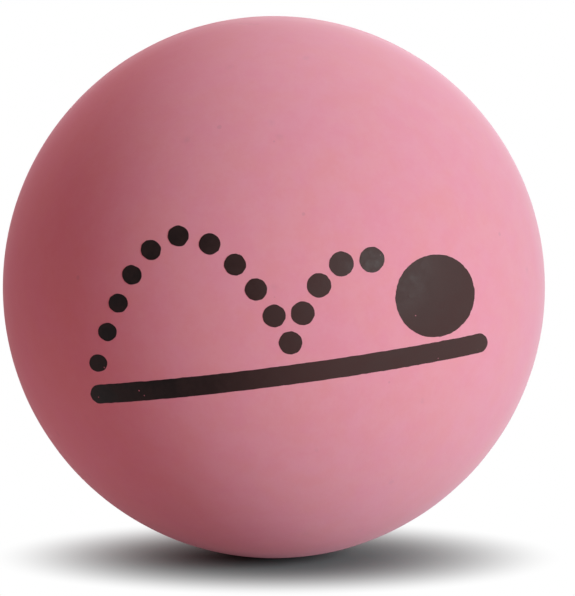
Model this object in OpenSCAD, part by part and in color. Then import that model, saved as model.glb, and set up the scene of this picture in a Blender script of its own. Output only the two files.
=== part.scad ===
// Hollow high-bounce rubber ball: two moulded half-shells, ground flat at the rim and
// cemented rim to rim around a sealed cavity that holds gas under pressure.
// The centre of the ball is the origin. The shells share the Y axis, so their seam is
// the great circle in the XZ plane and the domes face -Y (front) and +Y (back).

/* [Ball] */
// Outside diameter of the finished ball
ball_d = 60; // [50:0.5:70]
// Thickness of the rubber wall
wall = 3.6; // [2.5:0.1:6]

/* [Seam] */
// Thickness of the cement film between the two ground rims
film_t = 0.2; // [0.1:0.05:0.5]
// How far up each half the outer edge is bevelled where the flash is ground away
bevel_h = 0.25; // [0.1:0.05:0.6]
// Depth of that bevel at the rim, which is also how far the cement lies below the surface
bevel_d = 0.15; // [0.05:0.05:0.4]
// Moulded chamfer on the inner edge of each rim
chamfer = 0.8; // [0.3:0.1:1.2]
// How far the bead of squeezed-out cement laps past the chamfers onto the inner wall
bead_lap = 0.35; // [0.1:0.05:0.8]

/* [Hidden] */
$fn = 180;

ball_r = ball_d / 2;
cavity_r = ball_r - wall;
rim_y = film_t / 2;

// Heights above the seam plane where the bevel and the chamfer run out
bevel_y = rim_y + bevel_h;
chamfer_y = rim_y + chamfer;

// Radii of the rim's land, between the chamfer and the bevel
land_inner_r = radius_at(cavity_r, rim_y) + chamfer;
land_outer_r = radius_at(ball_r, rim_y) - bevel_d;

// The bead covers both chamfers and reaches the wall beyond them
bead_r = chamfer_y + bead_lap;

// Colours of the rubber and of the cement
rubber_pink = [0.86, 0.50, 0.58];
cement_rose = [0.68, 0.34, 0.40];

// Distance from the axis to a sphere of radius r, at height y above its equator
function radius_at(r, y) = sqrt(r * r - y * y);

// Outside corner ground off the rim, as the area that is cut away
module bevel_cut() {
    polygon([
        [land_outer_r, 0],
        [land_outer_r, rim_y],
        [radius_at(ball_r, bevel_y), bevel_y],
        [ball_r + bevel_d, bevel_y],
        [ball_r + bevel_d, 0]
    ]);
}

// Inside corner of the rim, as the area that is cut away
module chamfer_cut() {
    polygon([
        [land_inner_r, 0],
        [land_inner_r, rim_y],
        [radius_at(cavity_r, chamfer_y), chamfer_y],
        [cavity_r - chamfer, chamfer_y],
        [cavity_r - chamfer, 0]
    ]);
}

// Section of one half, from the axis outwards, above the seam plane
module half_section() {
    difference() {
        intersection() {
            circle(r = ball_r);
            translate([0, rim_y]) square(ball_r);
        }
        circle(r = cavity_r);
        bevel_cut();
        chamfer_cut();
    }
}

// Section of the cement: the film between the rims and its bead, less what the halves fill
module cement_section() {
    difference() {
        union() {
            translate([cavity_r, -rim_y]) square([land_outer_r - cavity_r, film_t]);
            translate([cavity_r, 0]) circle(r = bead_r);
        }
        half_section();
        mirror([0, 1]) half_section();
    }
}

// One moulded cup, dome up, with its rim at the seam plane
module half_shell() {
    rotate_extrude() half_section();
}

module front_half_shell() {
    color(rubber_pink) rotate([90, 0, 0]) half_shell();
}

module back_half_shell() {
    color(rubber_pink) rotate([-90, 0, 0]) half_shell();
}

module seam_cement() {
    color(cement_rose) rotate([90, 0, 0]) rotate_extrude() cement_section();
}

front_half_shell();
back_half_shell();
seam_cement();
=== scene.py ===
import math
import random

import bmesh
import bpy
from mathutils import Matrix, Vector, kdtree, noise


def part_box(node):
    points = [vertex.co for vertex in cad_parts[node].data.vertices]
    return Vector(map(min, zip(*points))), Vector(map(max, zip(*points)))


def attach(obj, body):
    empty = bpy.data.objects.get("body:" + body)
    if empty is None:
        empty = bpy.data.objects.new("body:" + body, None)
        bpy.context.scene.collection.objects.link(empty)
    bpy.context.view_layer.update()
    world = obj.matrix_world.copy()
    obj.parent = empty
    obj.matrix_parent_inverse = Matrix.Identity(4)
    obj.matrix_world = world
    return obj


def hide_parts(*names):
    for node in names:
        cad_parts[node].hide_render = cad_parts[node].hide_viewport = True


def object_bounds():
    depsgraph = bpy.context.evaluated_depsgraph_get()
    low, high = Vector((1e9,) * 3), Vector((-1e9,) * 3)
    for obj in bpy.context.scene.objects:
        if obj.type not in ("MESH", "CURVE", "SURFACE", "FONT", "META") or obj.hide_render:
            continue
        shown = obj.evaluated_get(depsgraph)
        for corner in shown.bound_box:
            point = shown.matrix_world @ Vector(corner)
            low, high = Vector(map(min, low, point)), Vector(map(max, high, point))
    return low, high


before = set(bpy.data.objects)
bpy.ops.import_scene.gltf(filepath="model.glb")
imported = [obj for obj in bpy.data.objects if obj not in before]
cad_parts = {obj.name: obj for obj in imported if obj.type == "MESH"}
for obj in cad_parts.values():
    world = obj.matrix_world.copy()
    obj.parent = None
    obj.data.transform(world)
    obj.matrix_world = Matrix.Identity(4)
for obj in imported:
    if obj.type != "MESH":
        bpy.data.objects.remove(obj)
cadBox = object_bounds()
scene = bpy.context.scene
scene.view_settings.view_transform = "Standard"
mm = 0.001

ballRadius = (cadBox[1].x - cadBox[0].x) / 2
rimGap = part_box("back_half_shell")[0].y     # half the cement film's thickness
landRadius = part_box("seam_cement")[1].x     # where the cement's outer face lies
print("frame loaded, ball radius", round(ballRadius / mm, 2), "mm")


# camera: where the ball's centre and edge fall in the picture sets its aim and its lens

view = {
    "distance": 0.6,
    "elevation": 7.0,
    "frame": (575, 596),
    "ballCentre": (273.9, 287.1),
    "ballRadius": 271.3,
    "sensor": 36.0,
}


def viewAxes():
    tilt = math.radians(view["elevation"])
    up = Vector((0, math.sin(tilt), math.cos(tilt)))
    back = Vector((0, -math.cos(tilt), math.sin(tilt)))
    return Vector((1, 0, 0)), up, back


def domePoint(pixel):
    # direction from the ball's centre to the spot that shows at this pixel
    right, up, back = viewAxes()
    across = (pixel[0] - view["ballCentre"][0]) / view["ballRadius"]
    above = (view["ballCentre"][1] - pixel[1]) / view["ballRadius"]
    towards = math.sqrt(1 - across ** 2 - above ** 2)
    return right * across + up * above + back * towards


def makeCamera():
    right, up, back = viewAxes()
    wide, high = view["frame"]
    focalPixels = view["ballRadius"] / math.tan(math.asin(ballRadius / view["distance"]))
    data = bpy.data.cameras.new("photoCamera")
    data.sensor_width = view["sensor"]
    data.lens = view["sensor"] * focalPixels / max(wide, high)
    camera = bpy.data.objects.new("photoCamera", data)
    scene.collection.objects.link(camera)
    camera.location = back * view["distance"]
    asideX = (view["ballCentre"][0] - wide / 2) / focalPixels
    asideY = (high / 2 - view["ballCentre"][1]) / focalPixels
    aim = -back - right * asideX - up * asideY
    camera.rotation_euler = aim.to_track_quat("-Z", "Y").to_euler()
    scene.camera = camera


makeCamera()
print("camera set")


# small helpers for node trees and meshes

def fill(tree, socket, value):
    if isinstance(value, bpy.types.NodeSocket):
        tree.links.new(value, socket)
    else:
        socket.default_value = value


def addNode(tree, kind, sockets=None, **settings):
    made = tree.nodes.new(kind)
    for key, value in settings.items():
        setattr(made, key, value)
    for key, value in (sockets or {}).items():
        fill(tree, made.inputs[key], value)
    return made


def calc(tree, operation, first, second=0.0):
    return addNode(tree, "ShaderNodeMath", {0: first, 1: second}, operation=operation).outputs[0]


def calcVector(tree, operation, first, second):
    return addNode(tree, "ShaderNodeVectorMath", {0: first, 1: second}, operation=operation)


def ramp(tree, value, low, high, outLow=0.0, outHigh=1.0):
    sockets = {"Value": value, "From Min": low, "From Max": high, "To Min": outLow, "To Max": outHigh}
    return addNode(tree, "ShaderNodeMapRange", sockets, interpolation_type="SMOOTHSTEP").outputs[0]


def blendColour(tree, amount, first, second):
    return addNode(tree, "ShaderNodeMix", {0: amount, 6: first, 7: second}, data_type="RGBA").outputs[2]


def noiseAt(tree, place, scale, detail=3.0, roughness=0.5):
    sockets = {"Vector": place, "Scale": scale, "Detail": detail, "Roughness": roughness}
    return addNode(tree, "ShaderNodeTexNoise", sockets).outputs["Fac"]


def newMaterial(name):
    made = bpy.data.materials.new(name)
    made.use_nodes = True
    tree = made.node_tree
    place = addNode(tree, "ShaderNodeTexCoord").outputs["Object"]
    return made, tree, tree.nodes["Principled BSDF"], place


def newGroup(name, values, result):
    tree = bpy.data.node_groups.new(name, "ShaderNodeTree")
    tree.interface.new_socket("Place", in_out="INPUT", socket_type="NodeSocketVector")
    for label in values:
        tree.interface.new_socket(label, in_out="INPUT", socket_type="NodeSocketFloat")
    tree.interface.new_socket(result, in_out="OUTPUT", socket_type="NodeSocketFloat")
    given = tree.nodes.new("NodeGroupInput").outputs
    return tree, given, tree.nodes.new("NodeGroupOutput").inputs[result]


def applyGroup(tree, group, place, *values):
    # values follow the order of the group's sockets after Place
    made = addNode(tree, "ShaderNodeGroup", node_tree=group)
    for socket, value in zip(made.inputs, (place, *values)):
        fill(tree, socket, value)
    return made.outputs[0]


def smoothFaces(bm, creaseAngle):
    # edges steeper than the angle, in degrees, stay sharp
    bmesh.ops.recalc_face_normals(bm, faces=bm.faces[:])
    for face in bm.faces:
        face.smooth = True
    for edge in bm.edges:
        edge.smooth = edge.calc_face_angle(0) < math.radians(creaseAngle)


def newPiece(name, bm, material):
    mesh = bpy.data.meshes.new(name)
    bm.to_mesh(mesh)
    bm.free()
    mesh.materials.append(material)
    piece = bpy.data.objects.new(name, mesh)
    scene.collection.objects.link(piece)
    return piece


# effects that the rubber, the cement and the ink share

effects = {
    "fineScale": 4.3,                       # small noise in the patches, against the wide one
    "fineShare": 0.55,
    "patchEdge": (0.55, 1.0),
    "speckLeast": 0.35,                     # goes on top of each speck's own draw from 0 to 1
    "speckEdge": (0.6, 1.0),
    "dragStretch": (1.0, 0.16, 0.35),
    "dragShare": 0.45,
}


def makeCloudGroup():
    # soft patches, as uneven tumbling and bloom leave them
    tree, given, result = newGroup("cloudyPatches", ["Scale"], "Patches")
    wide = noiseAt(tree, given["Place"], given["Scale"])
    fineScale = calc(tree, "MULTIPLY", given["Scale"], effects["fineScale"])
    fine = noiseAt(tree, given["Place"], fineScale, detail=4.0)
    both = calc(tree, "ADD", wide, calc(tree, "MULTIPLY", fine, effects["fineShare"]))
    tree.links.new(ramp(tree, both, *effects["patchEdge"]), result)
    return tree


def makeSpeckGroup():
    # scattered dots: one to a cell, and only in a share of the cells
    tree, given, result = newGroup("scatteredSpecks", ["Scale", "Size", "Share"], "Specks")
    cells = addNode(tree, "ShaderNodeTexVoronoi", {"Vector": given["Place"], "Scale": given["Scale"]})
    pick = addNode(tree, "ShaderNodeSeparateColor", {"Color": cells.outputs["Color"]}).outputs
    chosen = calc(tree, "LESS_THAN", pick["Red"], given["Share"])
    reach = calc(tree, "MULTIPLY", given["Size"], calc(tree, "ADD", pick["Green"], effects["speckLeast"]))
    near = calc(tree, "DIVIDE", cells.outputs["Distance"], reach)
    inside = ramp(tree, near, *effects["speckEdge"], 1.0, 0.0)
    tree.links.new(calc(tree, "MULTIPLY", inside, chosen), result)
    return tree


def makeToothGroup():
    # the fine tooth that grinding leaves, with a few longer drag marks in it
    tree, given, result = newGroup("groundTooth", ["Scale"], "Height")
    tooth = noiseAt(tree, given["Place"], given["Scale"], detail=5.0, roughness=0.62)
    drawn = addNode(tree, "ShaderNodeMapping", {"Vector": given["Place"], "Scale": effects["dragStretch"]})
    drag = noiseAt(tree, drawn.outputs[0], given["Scale"], detail=2.0)
    tree.links.new(calc(tree, "ADD", tooth, calc(tree, "MULTIPLY", drag, effects["dragShare"])), result)
    return tree


def addTooth(tree, shader, place, look):
    tooth = applyGroup(tree, toothGroup, place, look["toothScale"])
    sockets = {"Height": tooth, "Distance": look["toothHeight"], "Strength": look["toothStrength"]}
    tree.links.new(addNode(tree, "ShaderNodeBump", sockets).outputs[0], shader.inputs["Normal"])


cloudGroup = makeCloudGroup()
speckGroup = makeSpeckGroup()
toothGroup = makeToothGroup()
print("shared effects made")


# rubber of the two halves

rubberLook = {
    "pink": (0.710, 0.146, 0.212, 1),
    "salmon": (0.710, 0.156, 0.178, 1),     # the same depth of colour, a little warmer
    "bloom": (0.732, 0.222, 0.285, 1),      # pale dust that works out of the rubber
    "fleck": (0.482, 0.095, 0.130, 1),
    # painted shade in the pits: a darker tone of the same pink
    "pitShadeTone": (0.392, 0.078, 0.110, 1),
    # painted sheen at the rim: a pale tone laid on where the view grazes
    "rimSheenTone": (0.79, 0.66, 0.68, 1),
    "patchScale": 150.0,                    # cells to a metre
    "smallPatchScale": 420.0,
    "fleckCells": (330.0, 0.09, 0.10),      # scale, size in a cell, share of the cells
    "speckCells": (900.0, 0.14, 0.06),
    "toothScale": 2600.0,
    "smallPatchBloom": 0.34,                # how far each layer covers the one under it
    "seamBloom": 0.35,
    "fleckDepth": 0.45,
    "speckBloom": 0.30,
    "pitShadeDepth": 0.30,
    # how strong the painted rim sheen is
    "paintedRimSheen": 0.26,
    "rimSheenEdge": 0.72,                       # where the slant of the view begins the painted sheen at the rim
    "seamBand": (0.27 * mm, 0.9 * mm),      # where the finer grinding along the seam fades out
    "roughness": (0.69, 0.81),
    "seamPolish": 0.08,
    "specular": 0.06,
    "sheen": 0.656,                         # the dusty skin, which pales towards the lamps
    "sheenTint": (0.85, 0.65, 0.78, 1),
    "sheenSpread": 1.0,
    "toothHeight": 0.02 * mm,
    "toothStrength": 0.5,
}


def makeRubber():
    look = rubberLook
    made, tree, shader, place = newMaterial("pinkRubber")
    patches = applyGroup(tree, cloudGroup, place, look["patchScale"])
    smallPatches = applyGroup(tree, cloudGroup, place, look["smallPatchScale"])
    flecks = applyGroup(tree, speckGroup, place, *look["fleckCells"])
    specks = applyGroup(tree, speckGroup, place, *look["speckCells"])
    # painted shade: the pits are darkened, as shade in them; the same mask also sinks them
    pitDentAndShade = addNode(tree, "ShaderNodeAttribute", attribute_name="pitDentAndShade").outputs["Fac"]

    # distance from the seam plane, which is Y = 0
    alongY = addNode(tree, "ShaderNodeSeparateXYZ", {0: place}).outputs["Y"]
    fromSeam = calc(tree, "ABSOLUTE", alongY)
    seam = ramp(tree, fromSeam, *look["seamBand"], 1.0, 0.0)

    # painted sheen: the colour pales towards the rim, where the view grazes the ball
    facing = addNode(tree, "ShaderNodeLayerWeight", {"Blend": 0.5}).outputs["Facing"]
    slant = ramp(tree, facing, look["rimSheenEdge"], 1.0)

    colour = blendColour(tree, patches, look["salmon"], look["pink"])
    layers = ((smallPatches, "smallPatchBloom", "bloom"), (seam, "seamBloom", "bloom"),
              (flecks, "fleckDepth", "fleck"), (specks, "speckBloom", "bloom"),
              (pitDentAndShade, "pitShadeDepth", "pitShadeTone"), (slant, "paintedRimSheen", "rimSheenTone"))
    for mask, amount, tone in layers:
        colour = blendColour(tree, calc(tree, "MULTIPLY", mask, look[amount]), colour, look[tone])
    tree.links.new(colour, shader.inputs["Base Color"])

    roughness = ramp(tree, smallPatches, 0.0, 1.0, *look["roughness"])
    polished = calc(tree, "SUBTRACT", roughness, calc(tree, "MULTIPLY", seam, look["seamPolish"]))
    tree.links.new(polished, shader.inputs["Roughness"])
    addTooth(tree, shader, place, look)
    shader.inputs["Specular IOR Level"].default_value = look["specular"]
    shader.inputs["Sheen Weight"].default_value = look["sheen"]
    shader.inputs["Sheen Tint"].default_value = look["sheenTint"]
    shader.inputs["Sheen Roughness"].default_value = look["sheenSpread"]
    return made


rubber = makeRubber()

shell = {
    "wall": 3.6 * mm,
    "bevelRise": 0.25 * mm,       # ground edge beside the seam
    "chamfer": 0.8 * mm,          # inner edge of the rim
    "cuts": 127,                  # a cube's edge is cut this often before it is blown up to a ball
    "cutTolerance": 0.001 * mm,
    "innerRings": 22,
    "poleRing": 0.1 * mm,         # last ring before the inner wall closes
    "creaseAngle": 40,
    "surfaceDrop": 0.022 * mm,    # keeps the swell and the print inside the true sphere
    "swell": 0.010 * mm,          # slow waves in the surface, as moulding leaves them
    "swellSize": 4.5 * mm,
    "swellNoise": (0.8, 2.0, 3),  # loss from octave to octave, their ratio and count
    "calmBand": 1.5 * mm,         # the wear fades out over this much beside the seam
    "pits": 26,
    "pitSize": (0.3 * mm, 0.6 * mm),
    "pitDepth": 0.02 * mm,
    "pitStrength": (0.4, 1.0),
    # pixels of the nicks that show
    "marks": [(305, 64), (388, 477), (241, 26), (246, 26.6), (251, 27.2), (256, 27.8)],
    "markSize": 0.5 * mm,
    "seed": 11,
}


def scatterPits(facing):
    # small craters where grit pulled out, and the few that the front shows
    draw = random.Random(shell["seed"] + facing)
    pits = []
    for _ in range(shell["pits"]):
        way = Vector((draw.gauss(0, 1), draw.gauss(0, 1), draw.gauss(0, 1))).normalized()
        way.y = facing * abs(way.y)
        pits.append((way, draw.uniform(*shell["pitSize"]), draw.uniform(*shell["pitStrength"])))
    if facing < 0:
        pits += [(domePoint(pixel), shell["markSize"], 1.0) for pixel in shell["marks"]]
    return pits


def wearSurface(bm, facing):
    # one mask for each pit: it sinks the surface and carries the painted shade
    pitDentAndShadeLayer = bm.verts.layers.float.new("pitDentAndShade")
    bm.verts.ensure_lookup_table()
    tree = kdtree.KDTree(len(bm.verts))
    for index, v in enumerate(bm.verts):
        tree.insert(v.co, index)
    tree.balance()
    for way, size, depth in scatterPits(facing):
        for _, index, gap in tree.find_range(way * ballRadius, size):
            v = bm.verts[index]
            v[pitDentAndShadeLayer] = max(v[pitDentAndShadeLayer], depth * (1 - (gap / size) ** 2) ** 2)
    edgeY = rimGap + shell["bevelRise"]
    for v in bm.verts:
        calm = min(1.0, max(0.0, (abs(v.co.y) - edgeY) / shell["calmBand"]))
        v[pitDentAndShadeLayer] *= calm
        swell = shell["swell"] * calm * noise.fractal(v.co / shell["swellSize"], *shell["swellNoise"])
        drop = shell["surfaceDrop"] + shell["pitDepth"] * v[pitDentAndShadeLayer]
        v.co = v.co.normalized() * (ballRadius + swell - drop)


def extrudeRing(bm, ring, radius, along):
    # carries a ring of edges on to another radius and another place along Y
    grown = bmesh.ops.extrude_edge_only(bm, edges=ring)["geom"]
    verts = [g for g in grown if isinstance(g, bmesh.types.BMVert)]
    now = verts[0].co.copy()
    spread = radius / math.hypot(now.x, now.z)
    bmesh.ops.scale(bm, vec=(spread, 1, spread), verts=verts)
    bmesh.ops.translate(bm, vec=(0, along - now.y, 0), verts=verts)
    fresh = set(verts)
    return [g for g in grown if isinstance(g, bmesh.types.BMEdge) and set(g.verts) <= fresh]


def makeHalf(name, facing):
    bm = bmesh.new()
    bmesh.ops.create_cube(bm, size=2)
    bmesh.ops.subdivide_edges(bm, edges=bm.edges[:], cuts=shell["cuts"], use_grid_fill=True)
    for v in bm.verts:
        v.co = Vector([math.tan(c * math.pi / 4) for c in v.co]).normalized() * ballRadius
    everything = bm.verts[:] + bm.edges[:] + bm.faces[:]
    edgeY = facing * (rimGap + shell["bevelRise"])
    bmesh.ops.bisect_plane(bm, geom=everything, dist=shell["cutTolerance"], plane_co=(0, edgeY, 0),
                           plane_no=(0, facing, 0), clear_inner=True)
    wearSurface(bm, facing)

    # ground edge, flat rim and inner chamfer, then the inner wall up to its pole
    cavity = ballRadius - shell["wall"]
    chamferY = rimGap + shell["chamfer"]
    landInner = math.sqrt(cavity ** 2 - rimGap ** 2) + shell["chamfer"]
    ring = [e for e in bm.edges if e.is_boundary]
    ring = extrudeRing(bm, ring, landRadius, facing * rimGap)
    ring = extrudeRing(bm, ring, landInner, facing * rimGap)
    start = math.asin(chamferY / cavity)
    for step in range(shell["innerRings"]):
        angle = start + (math.pi / 2 - start) * step / shell["innerRings"]
        ring = extrudeRing(bm, ring, cavity * math.cos(angle), facing * cavity * math.sin(angle))
    pole = extrudeRing(bm, ring, shell["poleRing"], facing * cavity)
    poleVerts = list(dict.fromkeys(v for e in pole for v in e.verts))
    bmesh.ops.pointmerge(bm, verts=poleVerts, merge_co=(0, facing * cavity, 0))
    smoothFaces(bm, shell["creaseAngle"])
    return newPiece(name, bm, rubber)


for name, node, facing in (("front_half", "front_half_shell", -1), ("back_half", "back_half_shell", 1)):
    half = makeHalf(name, facing)
    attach(half, "root")
    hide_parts(node)
    print(name, "made,", len(half.data.polygons), "faces")


# cement line between the halves

cementLook = {
    "rose": (0.46, 0.13, 0.17, 1),
    "pale": (0.60, 0.22, 0.26, 1),
    "patchScale": 300.0,
    "toothScale": 1500.0,
    "roughness": (0.42, 0.60),
    "toothHeight": 0.03 * mm,
    "toothStrength": 0.6,
}


def makeCement():
    look = cementLook
    made, tree, shader, place = newMaterial("curedCement")
    patches = applyGroup(tree, cloudGroup, place, look["patchScale"])
    tree.links.new(blendColour(tree, patches, look["rose"], look["pale"]), shader.inputs["Base Color"])
    tree.links.new(ramp(tree, patches, 0.0, 1.0, *look["roughness"]), shader.inputs["Roughness"])
    addTooth(tree, shader, place, look)
    return made


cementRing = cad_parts["seam_cement"]
cementRing.data.materials.clear()
cementRing.data.materials.append(makeCement())
print("cement line finished")


# print on the front dome: the trail of a ball that hops along a bar

inkLook = {
    "black": (0.007, 0.0025, 0.0025, 1),
    "paintedSheenTone": (0.060, 0.027, 0.026, 1),        # painted sheen: the ink is paler on the right
    "worn": (0.055, 0.032, 0.031, 1),
    "showThrough": (0.62, 0.19, 0.25, 1),    # rubber seen through pinholes
    "paintedSheenReach": (-13 * mm, 7 * mm),        # along X, where the painted sheen grows
    "wornDepth": 0.25,
    "patchScale": 350.0,
    "pinholeCells": (1600.0, 0.16, 0.07),
    "toothScale": 2600.0,
    "roughness": (0.38, 0.56),
    "specular": 0.09,
    "toothHeight": 0.03 * mm,
    "toothStrength": 0.5,
}


def makeInk():
    look = inkLook
    made, tree, shader, place = newMaterial("stampedInk")
    patches = applyGroup(tree, cloudGroup, place, look["patchScale"])
    pinholes = applyGroup(tree, speckGroup, place, *look["pinholeCells"])
    alongX = addNode(tree, "ShaderNodeSeparateXYZ", {0: place}).outputs["X"]
    # painted sheen: the ink pales towards the right
    colour = blendColour(tree, ramp(tree, alongX, *look["paintedSheenReach"]), look["black"], look["paintedSheenTone"])
    colour = blendColour(tree, calc(tree, "MULTIPLY", patches, look["wornDepth"]), colour, look["worn"])
    tree.links.new(blendColour(tree, pinholes, colour, look["showThrough"]), shader.inputs["Base Color"])
    tree.links.new(ramp(tree, patches, 0.0, 1.0, *look["roughness"]), shader.inputs["Roughness"])
    addTooth(tree, shader, place, look)
    shader.inputs["Specular IOR Level"].default_value = look["specular"]
    return made


stamp = {
    "centrePixel": (283, 303),
    "slant": 7.5,                  # rises to the right, in degrees
    "thickness": 0.04 * mm,
    "start": (-20.2, -4.2),        # first dot, from the stamp's centre: lengths from here on are in mm
    "hopWidth": 20.4,
    "hopHeight": 12.6,
    "hops": 2,
    "bounce": 0.62,                # each hop's height, as a share of the one before
    "pathSteps": 200,
    "dotGap": 3.55,
    "dotSize": (0.95, 1.4),        # radius of the first and of the last dot
    "dotClear": 0.6,               # least space between the disc and a dot
    "discSize": 4.4,
    "discLift": 0.5,               # space between the disc and the bar
    "discSides": 48,
    "barRow": -7.6,
    "barReach": 21.5,
    "barHalf": 1.05,
    "barCells": (140, 8),
    "barCrowding": 0.24,           # draws the cells towards the round ends
    "barLeast": 0.01,              # keeps the ends from closing to a point
    "ragged": 0.05,                # uneven edge
    "raggedSize": 0.45,
    "creaseAngle": 50,
    "seed": 5,
}


def hopPath():
    # one list of places for each hop, a parabola that starts where the last one landed
    left, ground = stamp["start"]
    width, height = stamp["hopWidth"], stamp["hopHeight"]
    steps = stamp["pathSteps"]
    hops = []
    for _ in range(stamp["hops"]):
        share = [step / steps for step in range(steps + 1)]
        hops.append([Vector((left + width * t, ground + 4 * height * t * (1 - t))) for t in share])
        left += width
        height *= stamp["bounce"]
        width *= math.sqrt(stamp["bounce"])
    return hops


def evenPlaces(path):
    # places along a path that are the same distance apart, without its last
    gone = [0.0]
    for before, after in zip(path, path[1:]):
        gone.append(gone[-1] + (after - before).length)
    count = round(gone[-1] / stamp["dotGap"])
    marks = [gone[-1] * step / count for step in range(count)]
    return [path[next(i for i, far in enumerate(gone) if far >= mark)] for mark in marks]


def addDisc(bm, place, radius):
    there = Matrix.Translation((place.x, place.y, 0))
    made = bmesh.ops.create_circle(bm, cap_ends=True, cap_tris=True, segments=stamp["discSides"],
                                   radius=radius, matrix=there)
    edges = list(dict.fromkeys(e for v in made["verts"] for e in v.link_edges))
    bmesh.ops.subdivide_edges(bm, edges=edges, cuts=max(1, round(radius)), use_grid_fill=True)


def addTrail(bm):
    hops = hopPath()
    landing = hops[-1][-1]
    discRow = stamp["barRow"] + stamp["barHalf"] + stamp["discLift"] + stamp["discSize"]
    disc = Vector((landing.x, discRow))
    dots = [place for hop in hops for place in evenPlaces(hop)]
    small, large = stamp["dotSize"]
    for index, place in enumerate(dots):
        radius = small + (large - small) * index / (len(dots) - 1)
        if (place - disc).length > stamp["discSize"] + stamp["dotClear"] + radius:
            addDisc(bm, place, radius)
    addDisc(bm, disc, stamp["discSize"])


def addBar(bm):
    cellsX, cellsY = stamp["barCells"]
    made = bmesh.ops.create_grid(bm, x_segments=cellsX, y_segments=cellsY, size=1)
    half, reach = stamp["barHalf"], stamp["barReach"]
    for v in made["verts"]:
        v.co.x = reach * (v.co.x + stamp["barCrowding"] * math.sin(v.co.x * math.pi))
        pastEnd = max(0.0, abs(v.co.x) - (reach - half)) / half
        narrow = math.sqrt(max(stamp["barLeast"], 1 - pastEnd ** 2))
        v.co.y = stamp["barRow"] + v.co.y * half * narrow


def pressOntoDome(bm):
    # a printing pad lays the flat stamp straight down on the dome
    right = viewAxes()[0]
    centre = domePoint(stamp["centrePixel"])
    alongX = (right - centre * right.dot(centre)).normalized()
    alongY = centre.cross(alongX)
    for v in bm.verts:
        flat = alongX * v.co.x * mm + alongY * v.co.y * mm
        v.co = flat + centre * math.sqrt(ballRadius ** 2 - flat.length_squared)


def makePrint():
    bm = bmesh.new()
    addTrail(bm)
    addBar(bm)
    noise.seed_set(stamp["seed"])    # or else the edge would differ from run to run
    for v in bm.verts:
        push = noise.noise_vector(v.co / stamp["raggedSize"]) * stamp["ragged"]
        v.co += Vector((push.x, push.y, 0))
    slant = Matrix.Rotation(math.radians(stamp["slant"]), 3, "Z")
    bmesh.ops.rotate(bm, cent=(0, 0, 0), matrix=slant, verts=bm.verts[:])
    pressOntoDome(bm)
    bm.normal_update()
    inward = [face for face in bm.faces if face.normal.dot(face.calc_center_median()) < 0]
    bmesh.ops.reverse_faces(bm, faces=inward)
    bmesh.ops.solidify(bm, geom=bm.faces[:], thickness=stamp["thickness"])
    smoothFaces(bm, stamp["creaseAngle"])
    return newPiece("ink_print", bm, makeInk())


inkPrint = makePrint()
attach(inkPrint, "root")
reach = [v.co.length / mm for v in inkPrint.data.vertices]
print("print made, film from", round(min(reach), 3), "to", round(max(reach), 3), "mm")


# pale floor: white to the camera away from the ball; close in, a painted shadow that fades out with
# distance from the ball, with the ball's real shadow on it

floorLook = {
    "radius": 3.0,
    "sides": 96,
    "paintedShadowTone": (0.185, 0.215, 0.215, 1),      # painted shadow: dark tone that the camera sees near the ball; the real shadow falls on it too
    "pale": (0.66, 0.49, 0.49, 1),          # tone that the ball gets light back from
    "shadowReach": 32 * mm,                 # the painted shadow has faded to plain white here
    "shadowCentre": (0.3 * mm, -1.2 * mm, 0.0),   # a little in front of the ball
    "shadowShape": (1.0, 1.28, 0.0),        # wider than it is deep
}


def whiteRays(tree):
    # what the camera, a gloss or glass sees as plain white
    rays = addNode(tree, "ShaderNodeLightPath").outputs
    glossy = calc(tree, "MAXIMUM", rays["Is Glossy Ray"], rays["Is Transmission Ray"])
    return calc(tree, "MAXIMUM", rays["Is Camera Ray"], glossy)


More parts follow.
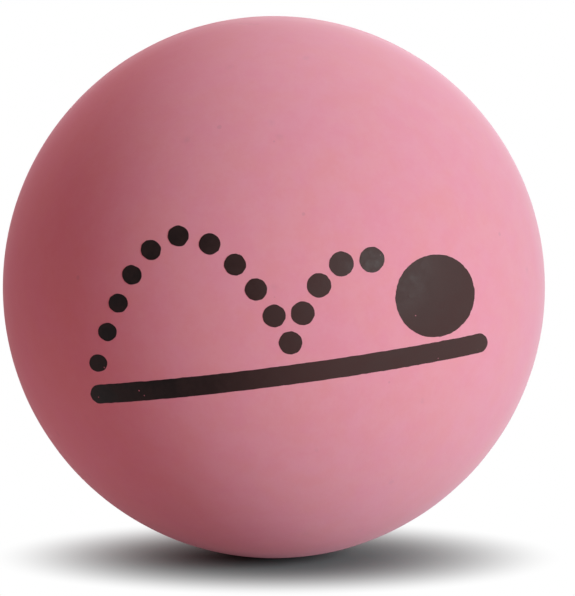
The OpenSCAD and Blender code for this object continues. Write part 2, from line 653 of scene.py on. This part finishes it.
def makeFloor():
    look = floorLook
    bm = bmesh.new()
    bmesh.ops.create_circle(bm, cap_ends=True, segments=look["sides"], radius=look["radius"])
    bmesh.ops.translate(bm, vec=(0, 0, -ballRadius), verts=bm.verts[:])
    made, tree, shader, place = newMaterial("paleFloor")
    tree.nodes.remove(shader)
    aside = calcVector(tree, "SUBTRACT", place, look["shadowCentre"]).outputs[0]
    flat = calcVector(tree, "MULTIPLY", aside, look["shadowShape"]).outputs[0]
    square = calcVector(tree, "DOT_PRODUCT", flat, flat).outputs["Value"]
    # painted shadow: dark near the ball, fading to plain white with distance from it
    clear = ramp(tree, square, 0.0, look["shadowReach"] ** 2)
    seen = whiteRays(tree)
    tone = blendColour(tree, seen, look["pale"], look["paintedShadowTone"])
    matte = addNode(tree, "ShaderNodeBsdfDiffuse", {"Color": tone})
    plain = addNode(tree, "ShaderNodeEmission", {"Strength": 1.0})
    share = calc(tree, "MULTIPLY", clear, seen)
    both = addNode(tree, "ShaderNodeMixShader", {0: share, 1: matte.outputs[0], 2: plain.outputs[0]})
    tree.links.new(both.outputs[0], tree.nodes["Material Output"].inputs["Surface"])
    return newPiece("floor", bm, made)


makeFloor()
print("floor made")


# studio: soft lamps, and surroundings that show white to the camera and in gloss but light dimly

studio = {
    "ambient": 0.295,
    "ambientTint": (1, 0.43, 0.42, 1),    # warm, against a cool key lamp
    "lamps": {                     # azimuth from the camera, elevation, distance, size, level, tint
        "keyLamp": (49, 14, 0.7, 0.28, 1.02, (0.68, 1, 1)),
        "backLamp": (184, 56, 0.75, 0.55, 0.42, (1, 0.86, 0.86)),
        "rearLamp": (180, 12, 0.7, 0.28, 0.4, (1, 1, 1)),
    },
}


def makeLamp(name, azimuth, elevation, distance, size, level, tint):
    # a level of 1 lights a white card that faces the lamp to plain white
    data = bpy.data.lights.new(name, "AREA")
    data.size = size
    data.color = tint
    data.energy = level * (math.pi * distance) ** 2
    lamp = bpy.data.objects.new(name, data)
    turn, rise = math.radians(azimuth), math.radians(elevation)
    way = Vector((math.sin(turn) * math.cos(rise), -math.cos(turn) * math.cos(rise), math.sin(rise)))
    lamp.location = way * distance
    lamp.rotation_euler = (-way).to_track_quat("-Z", "Y").to_euler()
    lamp.visible_camera = False
    scene.collection.objects.link(lamp)


def makeSurroundings():
    world = bpy.data.worlds.new("studio")
    world.use_nodes = True
    tree = world.node_tree
    dim = tree.nodes["Background"]
    dim.inputs["Color"].default_value = studio["ambientTint"]
    dim.inputs["Strength"].default_value = studio["ambient"]
    plain = addNode(tree, "ShaderNodeBackground", {"Color": (1, 1, 1, 1), "Strength": 1.0})
    shaders = {0: whiteRays(tree), 1: dim.outputs[0], 2: plain.outputs[0]}
    both = addNode(tree, "ShaderNodeMixShader", shaders)
    tree.links.new(both.outputs[0], tree.nodes["World Output"].inputs["Surface"])
    scene.world = world


for name, place in studio["lamps"].items():
    makeLamp(name, *place)
makeSurroundings()
print("studio lit")
